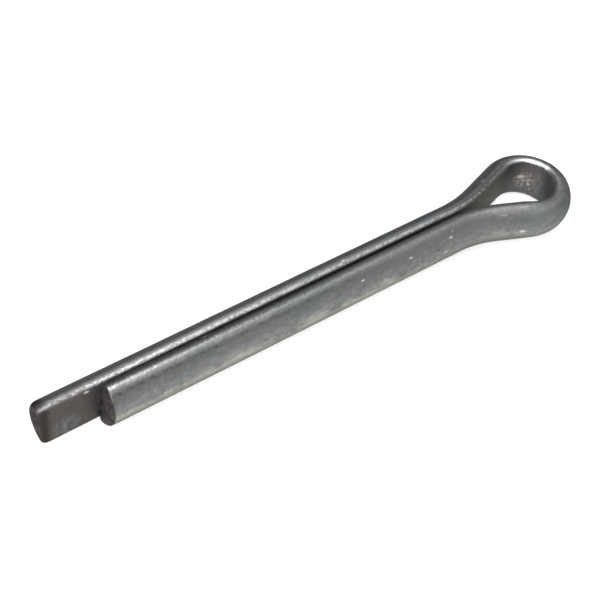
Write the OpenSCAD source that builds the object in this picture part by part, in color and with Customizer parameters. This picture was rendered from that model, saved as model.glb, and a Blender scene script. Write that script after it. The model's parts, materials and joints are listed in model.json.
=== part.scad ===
/* [Shank] */
// Diameter of the shank, over both legs
shank_d = 5.8; // [4.8:0.05:7]
// Length from the neck to the end of the short leg
shank_len = 48; // [24:0.5:80]
// How far the long leg runs past the short leg
prong_extra = 6.3; // [2:0.1:12]
// Gap between the flats of the two legs
leg_gap = 0.3; // [0.1:0.05:0.6]

/* [Wire] */
// Radius on the two long corners of the half-round wire
corner_r = 0.65; // [0.3:0.05:0.9]

/* [Eye] */
// Inside length of the eye, from the neck to the crown
eye_len = 16.5; // [13.75:0.05:20]
// Inside radius of the crown
crown_r = 2.7; // [2:0.1:3.1]
// Inside radius of the shoulder on the long leg's side
long_shoulder_r = 3.2; // [2.8:0.1:3.8]
// Inside radius of the shoulder on the short leg's side
short_shoulder_r = 4.5; // [3.3:0.1:5.5]
// Angle of the flank on the long leg's side, off the pin's axis
long_flank = 17; // [15:0.5:23]
// Angle of the flank on the short leg's side, off the pin's axis
short_flank = 22.5; // [20:0.5:28]
// Angle off the pin's axis at which the long leg's shoulder leaves the crown
long_blend = 12; // [5:1:60]
// Angle off the pin's axis at which the short leg's shoulder leaves the crown
short_blend = 35; // [20:1:60]

/* [Sheared ends] */
// Rounding that the shear leaves on the outer edge of each end
shear_r = 0.8; // [0.3:0.05:1.2]
// Lean of the long leg's end off square, in degrees, positive where the top runs longer
long_lean = 2; // [-6:0.5:6]
// Lean of the short leg's end off square, in degrees, positive where the top runs longer
short_lean = -3.5; // [-6:0.5:6]

/* [Hidden] */
$fn = 96;

outer_r = shank_d / 2;
flat_y = leg_gap / 2;

// The corner circles stand this far through the flat and the shank circle, which trim them back
corner_trim = 0.005;
corner_y = flat_y + corner_r - corner_trim;
corner_z = sqrt((outer_r - corner_r + corner_trim) ^ 2 - corner_y ^ 2);
corner_angle = atan2(corner_z, corner_y);

crown_c = [eye_len - crown_r, 0];

// The wire is drawn this much thinner all round along a bend, and the crown is drawn twice as much
bend_draw = 0.01;
// How far each bend runs on inside the thicker wire at its ends
lap = 0.1;

// Wire left past each end for the shear to take off
shear_stock = 2;
// How far the shear's rounding stands outside the wire
shear_clear = 0.1;

function polar(radius, angle) = radius * [cos(angle), sin(angle)];

// Cross section of the wire, drawn thinner all round: flat on the Y axis, round side towards +X
module half_round(draw) {
    reach = 2 * outer_r;
    translate([-flat_y, 0]) intersection() {
        circle(outer_r - draw);
        translate([flat_y + draw, -reach]) square([reach, 2 * reach]);
        union() {
            polygon([
                [0, -corner_z],
                [corner_y, -corner_z],
                polar(reach, -corner_angle),
                [reach, -reach],
                [reach, reach],
                polar(reach, corner_angle),
                [corner_y, corner_z],
                [0, corner_z]
            ]);
            for (side = [-1, 1]) translate([corner_y, side * corner_z]) circle(corner_r - draw);
        }
    }
}

// Straight wire along +X, flat on the X axis, round side towards +Y
module straight(length) {
    rotate([90, 0, 90]) linear_extrude(length) half_round(0);
}

// Bend about the origin between two angles, with the flat on the inside
module inward_bend(flat_r, from, to, draw) {
    run_on = atan(lap / flat_r);
    rotate_extrude(angle = to - from + 2 * run_on, start = from - run_on)
        translate([flat_r, 0]) half_round(draw);
}

// Bend about the origin between two angles, with the flat on the outside
module outward_bend(flat_r, from, to, draw) {
    run_on = atan(lap / flat_r);
    rotate_extrude(angle = to - from + 2 * run_on, start = from - run_on)
        translate([flat_r, 0]) mirror([1, 0]) half_round(draw);
}

// What the shear takes off, turned about the Z axis: all above Z = 0, and the outer edge below it
module shear() {
    inner_r = outer_r + shear_clear - shear_r;
    rotate_extrude() difference() {
        translate([0, -shear_r]) square([shank_d, shear_r + 2 * shear_stock]);
        translate([0, -2 * shear_r]) square([inner_r, 2 * shear_r]);
        translate([inner_r, -shear_r]) circle(shear_r);
    }
}

// One leg from the neck to its sheared end
module leg(length, lean) {
    difference() {
        translate([-length - shear_stock, flat_y, 0]) straight(length + shear_stock);
        translate([-length, 0, 0]) rotate([0, -90 - lean, 0]) shear();
    }
}

// One side of the eye: neck bend, straight flank, and a shoulder that touches the crown at the blend angle
module eye_side(flank, shoulder_r, blend) {
    shoulder_c = crown_c - polar(shoulder_r - crown_r, blend);
    flank_end = shoulder_c + polar(shoulder_r, flank + 90);
    // The flank's line meets the leg's flat here, and both ends of the neck bend lie this far from the corner
    knee_x = flank_end.x - (flank_end.y - flat_y) / tan(flank);
    neck_r = knee_x / tan(flank / 2);
    flank_len = norm(flank_end - [knee_x, flat_y]) - knee_x;
    translate([0, flat_y + neck_r]) {
        outward_bend(neck_r, -90, flank - 90, bend_draw);
        rotate(flank) translate([0, -neck_r]) straight(flank_len);
    }
    translate(shoulder_c) inward_bend(shoulder_r, blend, flank + 90, bend_draw);
}

module split_pin() {
    color("slategray") {
        leg(shank_len + prong_extra, long_lean);
        eye_side(long_flank, long_shoulder_r, long_blend);
        translate(crown_c) inward_bend(crown_r, -short_blend, long_blend, 2 * bend_draw);
        mirror([0, 1, 0]) {
            eye_side(short_flank, short_shoulder_r, short_blend);
            leg(shank_len, short_lean);
        }
    }
}

split_pin();
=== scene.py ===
import json
import bpy
from math import radians, sin, cos, tan, pi, atan2
from mathutils import Vector, Matrix, kdtree


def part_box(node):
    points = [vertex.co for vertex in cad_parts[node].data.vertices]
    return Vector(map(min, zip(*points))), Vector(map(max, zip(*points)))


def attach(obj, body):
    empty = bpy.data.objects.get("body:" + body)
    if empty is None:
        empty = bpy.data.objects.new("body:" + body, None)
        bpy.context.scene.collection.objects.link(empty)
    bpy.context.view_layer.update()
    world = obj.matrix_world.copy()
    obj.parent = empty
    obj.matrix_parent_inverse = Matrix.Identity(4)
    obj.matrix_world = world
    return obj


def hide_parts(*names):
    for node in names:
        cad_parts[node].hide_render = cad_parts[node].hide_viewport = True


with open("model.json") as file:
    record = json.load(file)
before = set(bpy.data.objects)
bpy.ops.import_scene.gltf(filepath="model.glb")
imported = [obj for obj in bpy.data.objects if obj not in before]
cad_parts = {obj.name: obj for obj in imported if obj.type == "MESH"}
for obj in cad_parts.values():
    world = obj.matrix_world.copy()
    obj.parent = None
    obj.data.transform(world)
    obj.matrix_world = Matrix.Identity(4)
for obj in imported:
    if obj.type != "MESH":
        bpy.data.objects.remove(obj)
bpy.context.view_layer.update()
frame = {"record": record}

mm = 0.001

# The shank's radius and the height of the floor come from the frame. All is worked in millimetres.
shank = next(m for m in frame["record"]["mounts"] if m["name"] == "shank")
shankRadius = shank["dims"]["r_mm"]
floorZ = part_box("split_pin")[0].z / mm


print("camera")
cameraSet = {
    "aim": (-22.57, 0.32, 0.0),   # where the lens points, in millimetres
    "azimuth": -45.4,
    "elevation": 45.06,
    "roll": 9.68,
    "distance": 121.6,
    "lens": 66.86,
}


def addCamera(s):
    a, e = radians(s["azimuth"]), radians(s["elevation"])
    back = Vector((sin(a) * cos(e), -cos(a) * cos(e), sin(e)))
    bpy.ops.object.camera_add(location=(Vector(s["aim"]) + back * s["distance"]) * mm)
    camera = bpy.context.object
    camera.name = "studioCamera"
    roll = Matrix.Rotation(radians(s["roll"]), 3, "Z")
    camera.rotation_euler = (back.to_track_quat("Z", "Y").to_matrix() @ roll).to_euler()
    camera.data.lens = s["lens"]
    camera.data.clip_start = 0.001
    bpy.context.scene.camera = camera


addCamera(cameraSet)


print("wire")
wireSet = {
    "roundCuts": 60,         # sides of the circle that the section is cut from
    "topCorner": 1.0,        # the upper corners are worn rounder than the lower ones
    "lowCorner": 0.80,
    "cornerTurn": 47,        # degrees that the rounding has turned through, past the top, where it meets the flat
    "cornerCuts": 9,
    "flatPieces": 12,
    "ringStep": 0.36,
    "gapAtNeck": 0.40,
    "longTip": 54.45,        # from the neck to the end of each leg
    "shortTip": 47.9,
    "longClose": 0.21,       # how far each flat has moved in by its tip
    "shortClose": 0.19,
    "longBow": 0.02,
    "shortBow": 0.02,
    "crownAt": 13.82,
    "crownRadius": 2.71,
    "longShoulder": 3.19,
    "shortShoulder": 4.56,
    "longFlank": 17.05,      # degrees off the pin's axis
    "shortFlank": 22.37,
    "longBlend": 11.5,
    "shortBlend": 35.2,
    "wireMiddle": 1.4,       # how far out from the flat the bends' rings are spaced
    "touch": 0.02,           # points nearer than this lie on the same face
    "neighbours": 12,        # how many places on the flat's line are tried for each point
    "behindFlat": -0.035,
}


def deselectAll():
    if bpy.context.object and bpy.context.object.mode == "EDIT":
        bpy.ops.object.mode_set(mode="OBJECT")
    bpy.ops.object.select_all(action="DESELECT")


def selectWhere(piece, test):
    # Picks points by their place, and leaves the piece in edit mode
    bpy.ops.object.mode_set(mode="EDIT")
    bpy.ops.mesh.select_mode(type="VERT")
    bpy.ops.mesh.select_all(action="DESELECT")
    bpy.ops.object.mode_set(mode="OBJECT")
    for v in piece.data.vertices:
        v.select = test(v.co)
    bpy.ops.object.mode_set(mode="EDIT")


def cornerMiddle(s, r):
    # The middle of the circle that rounds the section's corner, and the height of the flat's edge
    turn = radians(s["cornerTurn"])
    cornerY = s["gapAtNeck"] / 2 + r * sin(turn)
    cornerZ = ((shankRadius - r) ** 2 - cornerY ** 2) ** 0.5
    return cornerY, cornerZ, cornerZ + r * cos(turn)


def cutSection(s):
    # Half-round section at the long tip: a disc cut along the flat, its corners rounded by cuts round their circles
    flatY = s["gapAtNeck"] / 2
    bpy.ops.mesh.primitive_circle_add(vertices=s["roundCuts"], radius=shankRadius, fill_type="NGON",
                                      location=(endSet["long"]["roll"] - s["longTip"], 0, 0), rotation=(0, pi / 2, 0))
    piece = bpy.context.object
    bpy.ops.object.transform_apply()
    bpy.ops.object.mode_set(mode="EDIT")
    bpy.ops.mesh.select_all(action="SELECT")
    bpy.ops.mesh.bisect(plane_co=(0, flatY, 0), plane_no=(0, -1, 0), clear_outer=True)
    for side, r in ((1, s["topCorner"]), (-1, s["lowCorner"])):
        cornerY, cornerZ, edgeZ = cornerMiddle(s, r)
        first, last = atan2(cornerZ, cornerY), radians(90 + s["cornerTurn"])
        for k in range(s["cornerCuts"]):
            turn = first + (last - first) * (k + 0.5) / s["cornerCuts"]
            normal = Vector((0, cos(turn), side * sin(turn)))
            bpy.ops.mesh.select_all(action="SELECT")
            bpy.ops.mesh.bisect(plane_co=Vector((0, cornerY, side * cornerZ)) + r * normal,
                                plane_no=normal, clear_outer=True)
    bpy.ops.mesh.select_all(action="SELECT")
    bpy.ops.mesh.remove_doubles(threshold=0.03)
    selectWhere(piece, lambda c: abs(c.y - flatY) < 0.005)
    bpy.ops.mesh.subdivide(number_cuts=s["flatPieces"] - 1)
    selectWhere(piece, lambda c: True)
    return piece


def sideOfEye(s, flankDegrees, shoulderRadius, blendDegrees):
    # Shoulder centre, neck radius and flank length of one side, with that side as +Y
    flank, blend = radians(flankDegrees), radians(blendDegrees)
    flatY = s["gapAtNeck"] / 2
    step = shoulderRadius - s["crownRadius"]
    middle = Vector((s["crownAt"] - step * cos(blend), -step * sin(blend)))
    flankEnd = middle + shoulderRadius * Vector((-sin(flank), cos(flank)))
    kneeX = flankEnd.x - (flankEnd.y - flatY) / tan(flank)
    flankLength = (flankEnd - Vector((kneeX, flatY))).length - kneeX
    return middle, kneeX / tan(flank / 2), flankLength


endSet = {
    # lean: degrees off square, positive where the top runs longer. roll: how far back the edge is rolled over
    "long": {"lean": 4.0, "roll": 0.85, "crush": 0.55, "centre": 0.5, "steps": 6, "faceCentre": 1.2,
             "face": (0.9, 0.86, 0.8, 0.7, 0.5)},
    "short": {"lean": -3.5, "roll": 0.14, "crush": 1.0, "centre": 1.1, "steps": 3, "faceCentre": 1.2,
              "face": (0.96, 0.94, 0.9, 0.8, 0.66, 0.5)},
}


def planRoute(s):
    # Runs and bends in order, from the long tip round the eye to the short tip
    longLeg0, shortLeg0 = s["longTip"] - endSet["long"]["roll"], s["shortTip"] - endSet["short"]["roll"]
    flatY = s["gapAtNeck"] / 2
    longMiddle, longNeck, longRun = sideOfEye(s, s["longFlank"], s["longShoulder"], s["longBlend"])
    shortMiddle, shortNeck, shortRun = sideOfEye(s, s["shortFlank"], s["shortShoulder"], s["shortBlend"])
    longWay, shortWay = radians(s["longFlank"]), radians(180 - s["shortFlank"])

    def longLeg(t):
        return Vector((longLeg0 * t, s["longClose"] * t + 4 * s["longBow"] * t * (1 - t), 0))

    def shortLeg(t):
        return Vector((-shortLeg0 * t, s["shortClose"] * t - 4 * s["shortBow"] * t * (1 - t), 0))

    return [
        ("run", longLeg, longLeg0),
        ("bend", s["longFlank"], Vector((0, flatY + longNeck, 0)), longNeck),
        ("run", lambda t: Vector((cos(longWay), sin(longWay), 0)) * longRun * t, longRun),
        ("bend", s["longBlend"] - 90 - s["longFlank"], Vector((*longMiddle, 0)),
         s["longShoulder"] + s["wireMiddle"]),
        ("bend", -s["longBlend"] - s["shortBlend"], Vector((s["crownAt"], 0, 0)),
         s["crownRadius"] + s["wireMiddle"]),
        ("bend", s["shortBlend"] - 90 - s["shortFlank"],
         Vector((shortMiddle.x, -shortMiddle.y, 0)), s["shortShoulder"] + s["wireMiddle"]),
        ("run", lambda t: Vector((cos(shortWay), sin(shortWay), 0)) * shortRun * t, shortRun),
        ("bend", s["shortFlank"], Vector((0, -flatY - shortNeck, 0)), shortNeck),
        ("run", shortLeg, shortLeg0),
    ]


def sweepWire(s):
    # Extrudes and spins the section along the route, and notes where the flat's middle line goes
    piece = cutSection(s)
    bpy.ops.transform.translate(value=(0, -s["longClose"], 0))
    place = Vector((endSet["long"]["roll"] - s["longTip"], s["gapAtNeck"] / 2 - s["longClose"], 0))
    heading = 0.0
    line = [(place.copy(), heading)]
    for kind, what, third, *rest in planRoute(s):
        if kind == "run":
            rings = max(2, round(third / s["ringStep"]))
            start = place.copy()
            for k in range(1, rings + 1):
                now = start + what(k / rings)
                bpy.ops.mesh.extrude_region_move(TRANSFORM_OT_translate={"value": now - place})
                place = now
                line.append((place.copy(), heading))
        else:
            turn = radians(what)
            rings = max(4, round(abs(turn) * rest[0] / s["ringStep"]))
            bpy.ops.mesh.spin(steps=rings, angle=-turn, center=third, axis=(0, 0, 1))
            arm = place - third
            for k in range(1, rings + 1):
                place = third + Matrix.Rotation(turn * k / rings, 3, "Z") @ arm
                line.append((place.copy(), heading + turn * k / rings))
            heading += turn
    bpy.ops.object.mode_set(mode="OBJECT")
    return piece, line


def shearEnd(piece, place, side, s):
    # The last face is drawn on in rings that roll over to the sheared face, and then all of the end leans
    touch = wireSet["touch"]
    selectWhere(piece, lambda c: abs(c.x - place.x) < touch and side * (c.y - place.y) > -touch)
    bpy.ops.mesh.select_mode(type="FACE")
    middle = Vector((place.x, place.y + side * s["centre"], 0))
    before, wide, high = 0.0, 1.0, 1.0
    for k in range(1, s["steps"] + 1):
        a = k / s["steps"] * pi / 2
        out, inward = s["roll"] * sin(a), s["roll"] * (1 - cos(a))
        nowWide = 1 - inward / (shankRadius - s["centre"])
        nowHigh = 1 - s["crush"] * inward / shankRadius
        bpy.ops.mesh.extrude_region_move(TRANSFORM_OT_translate={"value": (before - out, 0, 0)})
        bpy.ops.transform.resize(value=(1, nowWide / wide, nowHigh / high), center_override=middle)
        before, wide, high = out, nowWide, nowHigh
    middle.y = place.y + side * s["faceCentre"]
    for f in s["face"]:
        bpy.ops.mesh.extrude_region_move(TRANSFORM_OT_translate={"value": (0, 0, 0)})
        bpy.ops.transform.resize(value=(1, f, f), center_override=middle)
    bpy.ops.mesh.merge(type="CENTER")
    selectWhere(piece, lambda c: side * (c.y - place.y) > -touch
                and place.x - 2 * s["roll"] - 0.1 < c.x < place.x + touch)
    bpy.ops.transform.rotate(value=radians(s["lean"]), orient_axis="Y", center_override=(place.x, place.y, 0))
    bpy.ops.object.mode_set(mode="OBJECT")


deselectAll()
wire, flatLine = sweepWire(wireSet)
wire.name = "cotterPinWire"
shearEnd(wire, flatLine[0][0], 1, endSet["long"])
shearEnd(wire, flatLine[-1][0], -1, endSet["short"])
print("wire faces", len(wire.data.polygons))


def straightPlaces(piece, line, s):
    # Where each point would lie if the wire were straight: along it, out from its flat, and up.
    # The skin place is along the wire and round its section, from the lower corner over the flat.
    tree = kdtree.KDTree(len(line))
    along = [0.0]
    for k, (place, heading) in enumerate(line):
        tree.insert(place, k)
        if k:
            along.append(along[-1] + (place - line[k - 1][0]).length)
    tree.balance()
    last = len(line) - 1
    flatY = s["gapAtNeck"] / 2
    edgeZ = cornerMiddle(s, s["topCorner"])[2]
    found = []
    for v in piece.data.vertices:
        for place, k, distance in tree.find_n(v.co, s["neighbours"]):
            heading = line[k][1]
            off = (v.co - place).dot(Vector((-sin(heading), cos(heading), 0)))
            if off > s["behindFlat"]:
                break
        reach = (v.co - place).dot(Vector((cos(heading), sin(heading), 0)))
        near, step = (k, 1) if reach >= 0 else (k, -1)
        if 0 <= near + step <= last:
            nextPlace, nextHeading = line[near + step]
            nextReach = (v.co - nextPlace).dot(Vector((cos(nextHeading), sin(nextHeading), 0)))
            share = reach / (reach - nextReach) if reach != nextReach else 0.0
            where = along[near] + share * (along[near + step] - along[near])
        else:
            where = along[near] + reach
        off = max(off, 0.0)
        if off < s["touch"]:
            skin = v.co.z
        else:
            skin = edgeZ + shankRadius * (atan2(edgeZ, flatY) - atan2(v.co.z, off + flatY))
        found.append((where, off, v.co.z, skin))
    return found


def keepPlaces(piece, found):
    places = [value for where, off, height, skin in found for value in (where, off, height)]
    skins = [value for where, off, height, skin in found for value in (where, skin, 0.0)]
    for name, values in (("wirePlace", places), ("wireSkin", skins)):
        attribute = piece.data.attributes.new(name, "FLOAT_VECTOR", "POINT")
        attribute.data.foreach_set("vector", values)


def selectPoints(piece, wanted):
    # Picks points by number, and leaves the piece in edit mode
    bpy.ops.object.mode_set(mode="EDIT")
    bpy.ops.mesh.select_mode(type="VERT")
    bpy.ops.mesh.select_all(action="DESELECT")
    bpy.ops.object.mode_set(mode="OBJECT")
    for number in wanted:
        piece.data.vertices[number].select = True
    bpy.ops.object.mode_set(mode="EDIT")


# Where the sharp bend at the near shoulder has drawn the inner corners round, in millimetres along the wire.
# Points lower on the flat than the height, or past the slope on the outside, stay where they are.
roundedSet = {
    "from": 72.0,
    "to": 80.8,
    "taper": 0.42,           # each pass is shorter than the last by this much at both ends
    "passes": 9,
    "repeats": 11,
    "height": 0.3,
    "slope": 60,
    "slopeFrom": 0.25,       # how far out from the flat the slope is measured from
}


def roundCorners(piece, line, s, wear):
    found = straightPlaces(piece, line, s)
    for k in range(wear["passes"]):
        start, end = wear["from"] + k * wear["taper"], wear["to"] - k * wear["taper"]
        selectPoints(piece, [n for n, (where, off, height, skin) in enumerate(found)
                             if start < where < end and abs(height) > wear["height"]
                             and atan2(abs(height), off - wear["slopeFrom"]) > radians(wear["slope"])])
        bpy.ops.mesh.vertices_smooth(factor=0.5, repeat=wear["repeats"])
        bpy.ops.object.mode_set(mode="OBJECT")


reliefSet = {
    "broadWave": {"kind": "CLOUDS", "size": 9.0, "depth": 0.03},
    "handling": {"kind": "CLOUDS", "size": 1.5, "depth": 0.006, "noise_depth": 2},
}

# Nicks from handling. Each gives its place along the wire and round its skin, its depth and its width
nickSet = {
    "neckA": (107.1, 4.9, 0.05, 0.32),
    "neckB": (99.9, 5.0, 0.05, 0.30),
    "neckC": (93.5, 4.9, 0.06, 0.34),
    "neckD": (94.5, 6.4, 0.04, 0.30),
    "neckE": (103.1, 6.8, 0.03, 0.26),
    "slit": (127.0, 2.75, 0.05, 0.30),
    "eyeWall": (70.3, -0.85, 0.14, 0.45),
    "eyeWallTop": (69.3, 0.3, 0.04, 0.50),
    "eyeFlank": (82.0, 6.9, 0.05, 0.50),
    "shoulder": (61.5, 3.6, 0.04, 0.35),
    "crownBack": (75.2, 8.4, 0.05, 0.40),
    "farLegA": (37.0, 3.0, 0.05, 0.30),
    "farLegB": (22.4, 8.2, 0.05, 0.36),
    "farLegC": (11.3, 6.0, 0.04, 0.30),
    "underNear": (118.0, 9.4, 0.05, 0.34),
    "tipEdge": (4.2, 2.3, 0.06, 0.34),
}
# The burr that the shear pulled out at the short end's foot: how far it is drawn, how wide it is, and where
# the foot is looked for, past these places and furthest down and out
burrSet = {
    "pull": (-0.20, -0.05, -0.10),
    "width": 0.55,
    "side": -0.3,
    "along": -47.6,
    "outward": 0.3,
}


def moveAround(piece, number, shift, width):
    # Moves one point and draws the skin round it along
    selectPoints(piece, [number])
    bpy.ops.transform.translate(value=shift, use_proportional_edit=True, use_proportional_connected=True,
                                proportional_edit_falloff="SMOOTH", proportional_size=width)
    bpy.ops.object.mode_set(mode="OBJECT")


def pressNicks(piece, nicks):
    skins = piece.data.attributes["wireSkin"].data
    where = [tuple(item.vector[:2]) for item in skins]
    for along, across, depth, width in nicks.values():
        number = min(range(len(where)), key=lambda k: (where[k][0] - along) ** 2 + (where[k][1] - across) ** 2)
        moveAround(piece, number, -depth * piece.data.vertices[number].normal, width)


def displaceBy(piece, name, kind, size, depth, **more):
    # One pass of procedural relief, applied to the mesh
    texture = bpy.data.textures.new(name, kind)
    texture.noise_scale = size
    for key, value in more.items():
        setattr(texture, key, value)
    relief = piece.modifiers.new(name, "DISPLACE")
    relief.texture = texture
    relief.texture_coords = "LOCAL"
    relief.strength = depth
    relief.mid_level = 0.5
    bpy.ops.object.modifier_apply(modifier=name)


deselectAll()
wire.select_set(True)
bpy.context.view_layer.objects.active = wire
bpy.ops.object.mode_set(mode="EDIT")
bpy.ops.mesh.select_all(action="SELECT")
bpy.ops.mesh.normals_make_consistent(inside=False)
bpy.ops.object.mode_set(mode="OBJECT")
roundCorners(wire, flatLine, wireSet, roundedSet)
smoothing = wire.modifiers.new("smoothing", "SUBSURF")
smoothing.levels = smoothing.render_levels = 1
bpy.ops.object.modifier_apply(modifier="smoothing")
keepPlaces(wire, straightPlaces(wire, flatLine, wireSet))
for name, s in reliefSet.items():
    displaceBy(wire, name, **s)
pressNicks(wire, nickSet)
footPoints = (v for v in wire.data.vertices if v.co.y < burrSet["side"] and v.co.x < burrSet["along"])
foot = min(footPoints, key=lambda v: v.co.z - burrSet["outward"] * v.co.y)
moveAround(wire, foot.index, burrSet["pull"], burrSet["width"])
bpy.ops.object.shade_smooth()

# Millimetres become metres, and the pin's mesh stands in its own place
bpy.ops.transform.resize(value=(mm, mm, mm), center_override=(0, 0, 0))
bpy.ops.object.transform_apply(scale=True)
wireLow = min(v.co.z for v in wire.data.vertices)
print("wire faces", len(wire.data.polygons), "lowest", wireLow)


print("materials")


def addNode(tree, kind, inputs={}, **settings):
    # Inputs are given by name or number: a value, or a socket to link from
    node = tree.nodes.new("ShaderNode" + kind)
    for key, value in settings.items():
        setattr(node, key, value)
    for key, value in inputs.items():
        if isinstance(value, bpy.types.NodeSocket):
            tree.links.new(value, node.inputs[key])
        else:
            node.inputs[key].default_value = value
    return node


def newGroup(name, inputs, outputs):
    # Inputs and outputs are (name, socket kind, value) and (name, socket kind)
    tree = bpy.data.node_groups.new(name, "ShaderNodeTree")
    for label, kind, value in inputs:
        socket = tree.interface.new_socket(label, in_out="INPUT", socket_type="NodeSocket" + kind)
        socket.default_value = value
    for label, kind in outputs:
        tree.interface.new_socket(label, in_out="OUTPUT", socket_type="NodeSocket" + kind)
    return tree, tree.nodes.new("NodeGroupInput").outputs, tree.nodes.new("NodeGroupOutput").inputs


def makePatches():
    # Soft patches of any size, drawn out along the wire by the stretch
    tree, given, result = newGroup("patches", [
        ("Place", "Vector", (0, 0, 0)), ("Stretch", "Vector", (1, 1, 1)), ("Size", "Float", 1.0),
        ("Detail", "Float", 3.0), ("Low", "Float", 0.35), ("High", "Float", 0.65)], [("Mask", "Float")])
    drawn = addNode(tree, "VectorMath", {0: given["Place"], 1: given["Stretch"]}, operation="DIVIDE")
    perSize = addNode(tree, "Math", {0: 1.0, 1: given["Size"]}, operation="DIVIDE")
    noise = addNode(tree, "TexNoise", {"Vector": drawn.outputs[0], "Scale": perSize.outputs[0],
                                       "Detail": given["Detail"], "Roughness": 0.6})
    spread = addNode(tree, "MapRange", {"Value": noise.outputs["Fac"], "From Min": given["Low"],
                                        "From Max": given["High"]}, interpolation_type="SMOOTHSTEP")
    tree.links.new(spread.outputs[0], result["Mask"])
    return tree


def makeMarks():
    # Sparse marks on the skin: one in each cell that is kept, longer than wide, turned off the wire's run
    tree, given, result = newGroup("marks", [
        ("Skin", "Vector", (0, 0, 0)), ("Turn", "Float", 0.0), ("Cell", "Vector", (1, 1, 1)),
        ("Shift", "Vector", (0, 0, 0)), ("Reach", "Float", 0.2), ("Keep", "Float", 0.5)], [("Mask", "Float")])
    waver = addNode(tree, "TexNoise", {"Vector": given["Skin"], "Scale": 0.8, "Detail": 1.0})
    bent = addNode(tree, "VectorMath", {0: waver.outputs["Color"], 1: (0.25, 0.25, 0), 2: given["Skin"]},
                   operation="MULTIPLY_ADD")
    turned = addNode(tree, "VectorRotate", {"Vector": bent.outputs[0], "Angle": given["Turn"]},
                     rotation_type="Z_AXIS")
    cells = addNode(tree, "VectorMath", {0: turned.outputs[0], 1: given["Cell"]}, operation="DIVIDE")
    shifted = addNode(tree, "VectorMath", {0: cells.outputs[0], 1: given["Shift"]}, operation="ADD")
    voronoi = addNode(tree, "TexVoronoi", {"Vector": shifted.outputs[0], "Scale": 1.0})
    inside = addNode(tree, "MapRange", {"Value": voronoi.outputs["Distance"], "From Min": given["Reach"],
                                        "From Max": 0.0}, interpolation_type="SMOOTHSTEP")
    draw = addNode(tree, "SeparateColor", {0: voronoi.outputs["Color"]})
    kept = addNode(tree, "Math", {0: draw.outputs[0], 1: given["Keep"]}, operation="LESS_THAN")
    mask = addNode(tree, "Math", {0: inside.outputs[0], 1: kept.outputs[0]}, operation="MULTIPLY")
    tree.links.new(mask.outputs[0], result["Mask"])
    return tree


def makeCornerWear():
    # The two long corners, where the plate is rubbed bright
    tree, given, result = newGroup("cornerWear", [
        ("Place", "Vector", (0, 0, 0)), ("Height", "Float", 2.5), ("Out", "Float", 0.4),
        ("Width", "Float", 0.5)],
        [("Mask", "Float"), ("Flat", "Float")])
    parts = addNode(tree, "SeparateXYZ", {0: given["Place"]})
    height = addNode(tree, "Math", {0: parts.outputs["Z"]}, operation="ABSOLUTE")
    fromTop = addNode(tree, "Math", {0: given["Height"], 1: height.outputs[0]}, operation="SUBTRACT")
    fromFlat = addNode(tree, "Math", {0: parts.outputs["Y"], 1: given["Out"]}, operation="SUBTRACT")
    apart = addNode(tree, "CombineXYZ", {"X": fromTop.outputs[0], "Y": fromFlat.outputs[0]})
    far = addNode(tree, "VectorMath", {0: apart.outputs[0]}, operation="LENGTH")
    wear = addNode(tree, "MapRange", {"Value": far.outputs["Value"], "From Min": given["Width"], "From Max": 0.0},
                   interpolation_type="SMOOTHSTEP")
    flat = addNode(tree, "MapRange", {"Value": parts.outputs["Y"], "From Min": 0.16, "From Max": 0.02},
                   interpolation_type="SMOOTHSTEP")
    tree.links.new(wear.outputs[0], result["Mask"])
    tree.links.new(flat.outputs[0], result["Flat"])
    return tree


def makeSpot():
    # One soft oval on the skin
    tree, given, result = newGroup("spot", [
        ("Skin", "Vector", (0, 0, 0)), ("Middle", "Vector", (0, 0, 0)), ("Reach", "Vector", (1, 1, 1))],
        [("Mask", "Float")])
    away = addNode(tree, "VectorMath", {0: given["Skin"], 1: given["Middle"]}, operation="SUBTRACT")
    share = addNode(tree, "VectorMath", {0: away.outputs[0], 1: given["Reach"]}, operation="DIVIDE")
    far = addNode(tree, "VectorMath", {0: share.outputs[0]}, operation="LENGTH")
    mask = addNode(tree, "MapRange", {"Value": far.outputs["Value"], "From Min": 1.0, "From Max": 0.35},
                   interpolation_type="SMOOTHSTEP")
    tree.links.new(mask.outputs[0], result["Mask"])
    return tree


def maths(tree, operation, *values):
    return addNode(tree, "Math", dict(enumerate(values)), operation=operation).outputs[0]


def joinAll(tree, operation, first, *others):
    for other in others:
        first = maths(tree, operation, first, other)
    return first


def ramp(tree, value, start, end, low=0.0, high=1.0, kind="SMOOTHSTEP"):
    # Goes from low at the start to high at the end
    return addNode(tree, "MapRange", {"Value": value, "From Min": start, "From Max": end, "To Min": low,
                                      "To Max": high}, interpolation_type=kind).outputs[0]


def mixValue(tree, amount, low, high):
    return addNode(tree, "MapRange", {"Value": amount, "To Min": low, "To Max": high}).outputs[0]


def mixColour(tree, amount, first, second, blend="MIX"):
    node = addNode(tree, "Mix", data_type="RGBA", blend_type=blend)
    for number, value in ((0, amount), (6, first), (7, second)):
        if isinstance(value, bpy.types.NodeSocket):
            tree.links.new(value, node.inputs[number])
        else:
            node.inputs[number].default_value = value
    return node.outputs[2]


patches, marks, cornerWear, spot = makePatches(), makeMarks(), makeCornerWear(), makeSpot()

def patchOn(tree, place, size, stretch, low, high, detail=3.0):
    return addNode(tree, "Group", {"Place": place, "Stretch": stretch, "Size": size, "Detail": detail,
                                   "Low": low, "High": high}, node_tree=patches).outputs[0]


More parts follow.
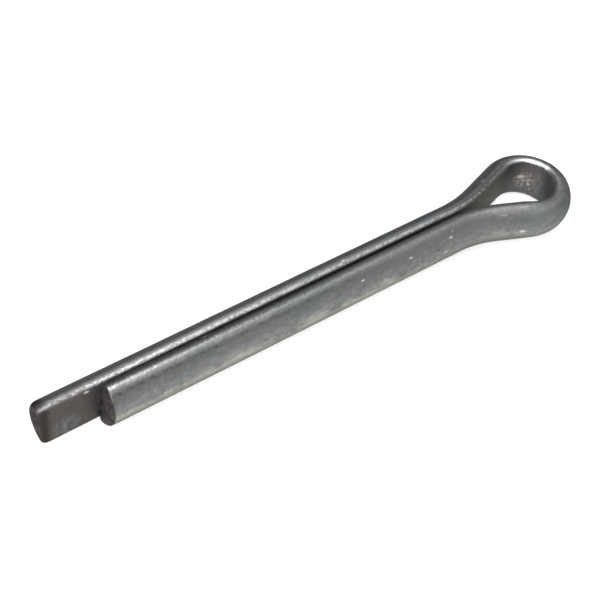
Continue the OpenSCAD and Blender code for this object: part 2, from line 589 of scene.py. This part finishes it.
zincSet = {
    "cool": (0.168, 0.177, 0.178, 1),
    "warm": (0.186, 0.184, 0.183, 1),
    "lowSideReflection": (0.40, 0.40, 0.355, 1),        # painted reflection of the lit floor: lighter and yellower along the low side
    # painted shade over the long tip's rolled end
    "paintedTipShade": (0.050, 0.044, 0.042, 1),
    "paintedFlatShade": (0.095, 0.088, 0.083, 1),     # painted shade on the flats, standing in for the shadowed floor they mirror
    "paintedEyeFlatShade": (0.21, 0.20, 0.175, 1),        # the flats' painted shade, lighter and yellower towards the eye
    "rubbed": (0.44, 0.43, 0.45, 1),          # the corners, rubbed bright
    "scuffed": (0.33, 0.315, 0.30, 1),        # rubs on the eye's inside and outside
    "bright": (0.55, 0.54, 0.55, 1),
    "pitAndShade": (0.06, 0.057, 0.054, 1),
    "wearTurn": 30,                           # degrees past the top, where the corner is rubbed most
    "wearWidth": 0.34,
    "crownAlong": 72.5,                       # where a hook has rubbed the inside of the eye
    "flankAlong": 59.5,                       # the far side of the eye, where the flats' painted shade comes up round the corner
    "bendAlong": 76.8,                        # the rounded bend, where the corner has no bright edge
    "raggedHeight": 1.1,                      # how far up the low side's edge wanders
    "gleamDepth": 0.1,                        # nicks shallower than this get a painted highlight on their upper edge
    "gleamUp": 0.4,                           # that painted highlight's place and size, in widths of the nick
    "gleamLong": 1.2,
    "gleamHigh": 0.5,
    # Soft patches: size, how far they are drawn out, where in the noise they begin and are full, and detail
    "patches": {
        "blotch": (4.5, (1.8, 1, 1), 0.36, 0.64),
        "frost": (0.52, (1.3, 1, 1), 0.36, 0.64),
        "grain": (0.12, (1.4, 1, 1), 0.32, 0.68, 2.0),
        "drawn": (0.10, (26, 1, 1), 0.30, 0.70, 2.0),
        "ragged": (1.1, (2.6, 1, 1), 0.28, 0.72, 6.0),
        "footShadeBreaks": (0.5, (1, 1, 1), 0.35, 0.60, 4.0),
        "toolLines": (0.10, (1, 1, 20), 0.45, 0.62, 2.0),
        "flakes": (0.33, (1, 1, 1), 0.44, 0.56, 5.0),
        "wornPatches": (0.22, (1.5, 1, 1), 0.40, 0.58, 4.0),
    },
    # Marks: degrees off the wire's run, cell, shift of the cells, reach in a cell, and share of cells kept
    "marks": {
        "rubs": (3, (7.0, 0.9, 1), (0.3, 0.7, 0), 0.16, 0.45),
        "scratches": (24, (4.5, 0.5, 1), (3.1, 5.2, 0), 0.11, 0.22),
        "specks": (0, (1.1, 0.9, 1), (9.4, 2.6, 0), 0.17, 0.10),
        "pits": (0, (1.4, 1.2, 1), (1.7, 8.3, 0), 0.16, 0.12),
    },
    # Ovals on the skin: middle and reach
    "ovals": {
        "scuffCrown": ((69.9, -0.3, 0), (1.8, 1.6, 1)),
        "scuffFlank": ((82.2, 6.9, 0), (1.3, 0.7, 1)),
        "scuffShoulder": ((60.0, 7.5, 0), (1.6, 0.9, 1)),
        "scuffFarLeg": ((28.0, 6.5, 0), (2.2, 0.8, 1)),
        "tool": ((71.7, -0.2, 0), (1.0, 2.2, 1)),
        "crownPolish": ((69.0, 2.75, 0), (5.4, 1.3, 1)),    # where the eye's top corner is rubbed smooth
        # painted highlight on the eye wall's nick, and painted shade beside it
        "nick": ((70.55, -0.95, 0), (0.24, 0.16, 1)),
        "nickShade": ((70.10, -0.85, 0), (0.26, 0.16, 1)),
        "foot": ((1.9, -1.3, 0), (2.1, 1.9, 1)),            # the flat near the long tip, where the painted shade is lighter
    },
    # Ramps, in millimetres: from, to, and the share at each where it isn't 0 and 1
    "ramps": {
        "lowHeight": (1.35, 0.0),                           # up the wire's side
        "lowByLeg": (90.0, 104.0, 0.35, 0.85, "LINEAR"),    # along the wire
        "shearedTip": (0.55, -0.35),
        "shadeByCrown": (3.0, 17.0, 0.64, 0.92),             # off the crown's place
        "eyeOuter": (24.0, 15.0),
        "eyeInner": (4.5, 7.0),
        "flankCornerShade": (8.5, 5.5, 0.0, 0.85),                 # off the flank's place
        "tipCornerShade": (13.0, 7.0, 0.0, 0.7),
        "cornerShadeReach": (0.85, 0.35),                         # out from the flat
        "tipWear": (1.0, 9.0, 0.40, 1.0, "LINEAR"),
        "nearLegWear": (84.0, 92.0, 1.0, 0.15, "LINEAR"),
        "offBend": (3.0, 5.0),                              # off the bend's place
        "eyeward": (120.0, 98.0),
    },
    # How much of each mask is used: where it is 0, and where it is 1
    "shares": {
        "frostShade": (1.08, 0.92),
        "grainShade": (0.93, 1.07),
        "footShade": (1.0, 0.30),
        "paintedTipShade": (0.0, 0.9),
        "toolScuff": (0.0, 0.5),
        "wornPatches": (0.05, 1.0),
        "scratches": (0.0, 0.6),
        "rubs": (0.0, 0.35),
        "pits": (0.0, 0.8),
        "rubbedFlat": (1.0, 0.25),
        "rough": (0.25, 0.41),
        "bendRough": (0.09, 0.0),
    },
    "roughEye": 0.13,                         # how much duller the near leg is towards the eye
    "roughWorn": -0.10,
    "roughFlat": 0.08,
    "roughTip": 0.15,
    # Heights of the fine relief, in thousandths of a millimetre
    "heights": {"frost": 6.5, "grain": 1.2, "drawn": 0.8, "rubs": -1.5, "scratches": -3.0, "specks": 4.0,
                "pits": -7.0, "scuff": 4.0, "tool": -2.0},
}


def newMetal(name):
    material = bpy.data.materials.new(name)
    material.use_nodes = True
    tree = material.node_tree
    shader = tree.nodes["Principled BSDF"]
    shader.inputs["Metallic"].default_value = 1.0
    shader.inputs["Specular Tint"].default_value = (0.24, 0.24, 0.25, 1)
    return material, tree, shader


def addHeights(tree, layers):
    # Heights are in thousandths of a millimetre
    height = 0.0
    for mask, depth in layers:
        height = maths(tree, "MULTIPLY_ADD", mask, depth, height)
    return addNode(tree, "Bump", {"Strength": 1.0, "Distance": 0.000001, "Height": height}).outputs[0]


def zincSteel(s):
    material, tree, shader = newMetal("zincSteel")
    place = addNode(tree, "Attribute", attribute_name="wirePlace").outputs["Vector"]
    skin = addNode(tree, "Attribute", attribute_name="wireSkin").outputs["Vector"]
    parts = addNode(tree, "SeparateXYZ", {0: place}).outputs
    along = parts["X"]

    def patch(name):
        return patchOn(tree, place, *s["patches"][name])

    def mark(name):
        turn, cell, shift, reach, keep = s["marks"][name]
        return addNode(tree, "Group", {"Skin": skin, "Turn": radians(turn), "Cell": cell, "Shift": shift,
                                       "Reach": reach, "Keep": keep}, node_tree=marks).outputs[0]

    def oval(middle, reach):
        return addNode(tree, "Group", {"Skin": skin, "Middle": middle, "Reach": reach}, node_tree=spot).outputs[0]

    def times(*values):
        return joinAll(tree, "MULTIPLY", *values)

    def most(*values):
        return joinAll(tree, "MAXIMUM", *values)

    def addTo(total, mask, amount):
        return maths(tree, "MULTIPLY_ADD", mask, amount, total)

    def rampBy(value, name):
        return ramp(tree, value, *s["ramps"][name])

    def share(mask, name):
        return mixValue(tree, mask, *s["shares"][name])

    def awayFrom(name):
        return maths(tree, "ABSOLUTE", maths(tree, "SUBTRACT", along, s[name]))

    r, wearTurn = wireSet["topCorner"], radians(s["wearTurn"])
    cornerY, cornerZ = cornerMiddle(wireSet, r)[:2]
    corner = addNode(tree, "Group", {
        "Place": place, "Height": cornerZ + r * cos(wearTurn), "Width": s["wearWidth"],
        "Out": cornerY - wireSet["gapAtNeck"] / 2 - r * sin(wearTurn)}, node_tree=cornerWear).outputs
    offFlat = mixValue(tree, corner["Flat"], 1.0, 0.0)
    frost, grain = patch("frost"), patch("grain")
    rubs, scratches, specks, pits = (mark(name) for name in s["marks"])
    ovals = {name: oval(*value) for name, value in s["ovals"].items()}

    # The plate: mottled, with a painted reflection of the lit floor along the low side, lighter and yellower
    colour = mixColour(tree, patch("blotch"), s["cool"], s["warm"])
    low = rampBy(addTo(parts["Z"], patch("ragged"), s["raggedHeight"]), "lowHeight")
    colour = mixColour(tree, times(low, rampBy(along, "lowByLeg"), offFlat), colour, s["lowSideReflection"])
    for shade in (share(frost, "frostShade"), share(grain, "grainShade")):
        colour = addNode(tree, "VectorMath", {0: colour, 3: shade}, operation="SCALE").outputs[0]

    # Painted shade on the flats, carried round the corner on the eye's far side and near the long tip, and over the
    # long tip's end
    tip = rampBy(along, "shearedTip")
    fromCrown = awayFrom("crownAlong")
    foot = times(ovals["foot"], patch("footShadeBreaks"))
    # Painted shade on the flats: lighter near the crown and on the flat near the long tip
    flatShade = times(corner["Flat"], rampBy(fromCrown, "shadeByCrown"), share(foot, "footShade"))
    inEye = times(rampBy(fromCrown, "eyeOuter"), rampBy(fromCrown, "eyeInner"))
    # Painted shade carried up round the corner near the eye's far flank and the long tip
    cornerShaded = most(rampBy(awayFrom("flankAlong"), "flankCornerShade"), rampBy(along, "tipCornerShade"))
    paintedCornerShade = times(cornerShaded, rampBy(parts["Y"], "cornerShadeReach"), offFlat)
    colour = mixColour(tree, flatShade, colour, mixColour(tree, inEye, s["paintedFlatShade"], s["paintedEyeFlatShade"]))
    colour = mixColour(tree, paintedCornerShade, colour, s["paintedFlatShade"])
    # Painted shade over the long tip's rolled end
    colour = mixColour(tree, share(tip, "paintedTipShade"), colour, s["paintedTipShade"])

    # Wear: scuffs, the rubbed corners, bright marks and dark pits; and at the nicks, painted highlights and painted
    # shade
    tool = times(ovals["tool"], patch("toolLines"))
    scuff = most(*(mask for name, mask in ovals.items() if name.startswith("scuff")))
    scuff = times(scuff, patch("flakes"))
    colour = mixColour(tree, most(scuff, share(tool, "toolScuff")), colour, s["scuffed"])
    worn = times(corner["Mask"], share(patch("wornPatches"), "wornPatches"))
    worn = most(worn, times(ovals["crownPolish"], corner["Mask"]))
    offBend = rampBy(awayFrom("bendAlong"), "offBend")
    worn = times(worn, rampBy(along, "tipWear"), rampBy(along, "nearLegWear"), offBend)
    colour = mixColour(tree, worn, colour, s["rubbed"])
    # Painted highlights on the upper edge of each shallow nick
    nickHighlights = [oval((nickAlong, across - s["gleamUp"] * width, 0), (s["gleamLong"] * width, s["gleamHigh"] * width, 1))
              for nickAlong, across, depth, width in nickSet.values() if depth < s["gleamDepth"]]
    bright = most(specks, share(scratches, "scratches"), share(rubs, "rubs"), ovals["nick"], *nickHighlights)
    colour = mixColour(tree, bright, colour, s["bright"])
    colour = mixColour(tree, most(share(pits, "pits"), ovals["nickShade"]), colour, s["pitAndShade"])
    tree.links.new(colour, shader.inputs["Base Color"])

    rough = addTo(share(frost, "rough"), rampBy(along, "eyeward"), s["roughEye"])
    rough = maths(tree, "ADD", rough, share(offBend, "bendRough"))
    for mask, amount in ((worn, s["roughWorn"]), (corner["Flat"], s["roughFlat"]), (tip, s["roughTip"])):
        rough = addTo(rough, mask, amount)
    tree.links.new(rough, shader.inputs["Roughness"])

    rubbedFlat = share(corner["Mask"], "rubbedFlat")
    masks = {"frost": times(frost, rubbedFlat), "grain": times(grain, rubbedFlat), "drawn": patch("drawn"),
             "rubs": rubs, "scratches": scratches, "specks": specks, "pits": pits, "scuff": scuff, "tool": tool}
    heights = [(masks[name], height) for name, height in s["heights"].items()]
    tree.links.new(addHeights(tree, heights), shader.inputs["Normal"])
    return material


shearedSet = {
    "base": (0.082, 0.076, 0.078, 1),
    "burnished": (0.135, 0.124, 0.120, 1),
    "rough": (0.45, 0.65),
    "patches": {
        "torn": (0.7, (1, 1, 1), 0.35, 0.65),
        "lines": (0.12, (1, 1, 9), 0.35, 0.65),
        "grain": (0.12, (1, 1, 1), 0.35, 0.65),
    },
    "heights": (4.0, 0.7, 1.0),
    # Faces this near each end, and turned this far towards it, are bare
    "longReach": 0.5,
    "longFacing": -0.80,
    "shortReach": 0.45,
    "shortSide": 0.02,
    "shortFacing": -0.22,
}


def shearedSteel(s):
    # Bare steel where the wire was cropped: drawn marks run up the face from the flat's side
    material, tree, shader = newMetal("shearedSteel")
    place = addNode(tree, "Attribute", attribute_name="wirePlace").outputs["Vector"]
    torn, lines, grain = (patchOn(tree, place, *values) for values in s["patches"].values())
    tone = maths(tree, "MULTIPLY", torn, lines)
    tree.links.new(mixColour(tree, tone, s["base"], s["burnished"]), shader.inputs["Base Color"])
    tree.links.new(mixValue(tree, torn, *s["rough"]), shader.inputs["Roughness"])
    tree.links.new(addHeights(tree, zip((torn, lines, grain), s["heights"])), shader.inputs["Normal"])
    return material


wire.data.materials.append(zincSteel(zincSet))
wire.data.materials.append(shearedSteel(shearedSet))
for face in wire.data.polygons:
    middle = face.center / mm
    atLong = middle.x < shearedSet["longReach"] - wireSet["longTip"] and face.normal.x < shearedSet["longFacing"]
    atShort = (abs(middle.x + wireSet["shortTip"]) < shearedSet["shortReach"]
               and middle.y < shearedSet["shortSide"] and face.normal.x < shearedSet["shortFacing"])
    if atLong or atShort:
        face.material_index = 1
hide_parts("split_pin")
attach(wire, "root")


print("floor and light")
floorSet = {
    "size": 2.2,
    "paint": (0.94, 0.94, 0.94, 1),
    "rough": 0.8,
    "whiteShare": 0.65,          # how much of the floor is plain white where the eye and the metal see it
}
# Each softbox: its direction off the pin, its distance, its width and height, and its watts
lampSet = {
    "cameraSoftbox": ((-0.76, -0.42, 0.55), 0.80, 0.70, 0.70, 12.8),
    "rightSoftbox": ((0.503, -0.30, 0.81), 0.60, 0.46, 0.14, 0.41),
    "backSoftbox": ((0.503, 0.50, 0.70), 0.70, 0.35, 0.35, 0.20),
    "sideSoftbox": ((0.503, -0.80, 0.26), 0.70, 0.55, 0.42, 0.65),
    "overheadSoftbox": ((-0.01, -0.06, 1.0), 0.60, 0.42, 0.38, 4.3),
}
roomSet = {
    "colour": (0.19, 0.19, 0.195, 1),
    "seen": (1, 1, 1, 1),
}


def addFloor(s):
    deselectAll()
    bpy.ops.mesh.primitive_plane_add(size=s["size"], location=(0, 0, min(floorZ * mm, wireLow)))
    floor = bpy.context.object
    floor.name = "floor"
    bpy.ops.object.transform_apply()
    paint = bpy.data.materials.new("floorPaint")
    paint.use_nodes = True
    tree = paint.node_tree
    matt = tree.nodes["Principled BSDF"]
    matt.inputs["Base Color"].default_value = s["paint"]
    matt.inputs["Roughness"].default_value = s["rough"]
    matt.inputs["Specular IOR Level"].default_value = 0.0
    rays = addNode(tree, "LightPath").outputs
    seen = joinAll(tree, "MAXIMUM", rays["Is Camera Ray"], rays["Is Glossy Ray"], rays["Is Transmission Ray"])
    share = maths(tree, "MULTIPLY", seen, s["whiteShare"])
    white = addNode(tree, "Emission", {"Color": (1, 1, 1, 1), "Strength": 1.0})
    mixed = addNode(tree, "MixShader", {0: share, 1: matt.outputs[0], 2: white.outputs[0]})
    tree.links.new(mixed.outputs[0], tree.nodes["Material Output"].inputs["Surface"])
    floor.data.materials.append(paint)


def addLamp(name, direction, distance, width, height, watts):
    away = Vector(direction).normalized()
    bpy.ops.object.light_add(type="AREA", location=away * distance + Vector(cameraSet["aim"]) * mm)
    lamp = bpy.context.object
    lamp.name = name
    lamp.rotation_euler = away.to_track_quat("Z", "Y").to_euler()
    lamp.data.shape = "RECTANGLE"
    lamp.data.size, lamp.data.size_y = width, height
    lamp.data.energy = watts


def addRoom(s):
    # The room lights the pin with its own colour, and is white where it is seen behind the floor
    world = bpy.data.worlds.new("studio")
    bpy.context.scene.world = world
    world.use_nodes = True
    tree = world.node_tree
    rays = addNode(tree, "LightPath").outputs
    seenColour = mixColour(tree, rays["Is Camera Ray"], s["colour"], s["seen"])
    tree.links.new(seenColour, tree.nodes["Background"].inputs["Color"])


addFloor(floorSet)
for name, s in lampSet.items():
    addLamp(name, *s)
addRoom(roomSet)
bpy.context.scene.view_settings.view_transform = "Standard"
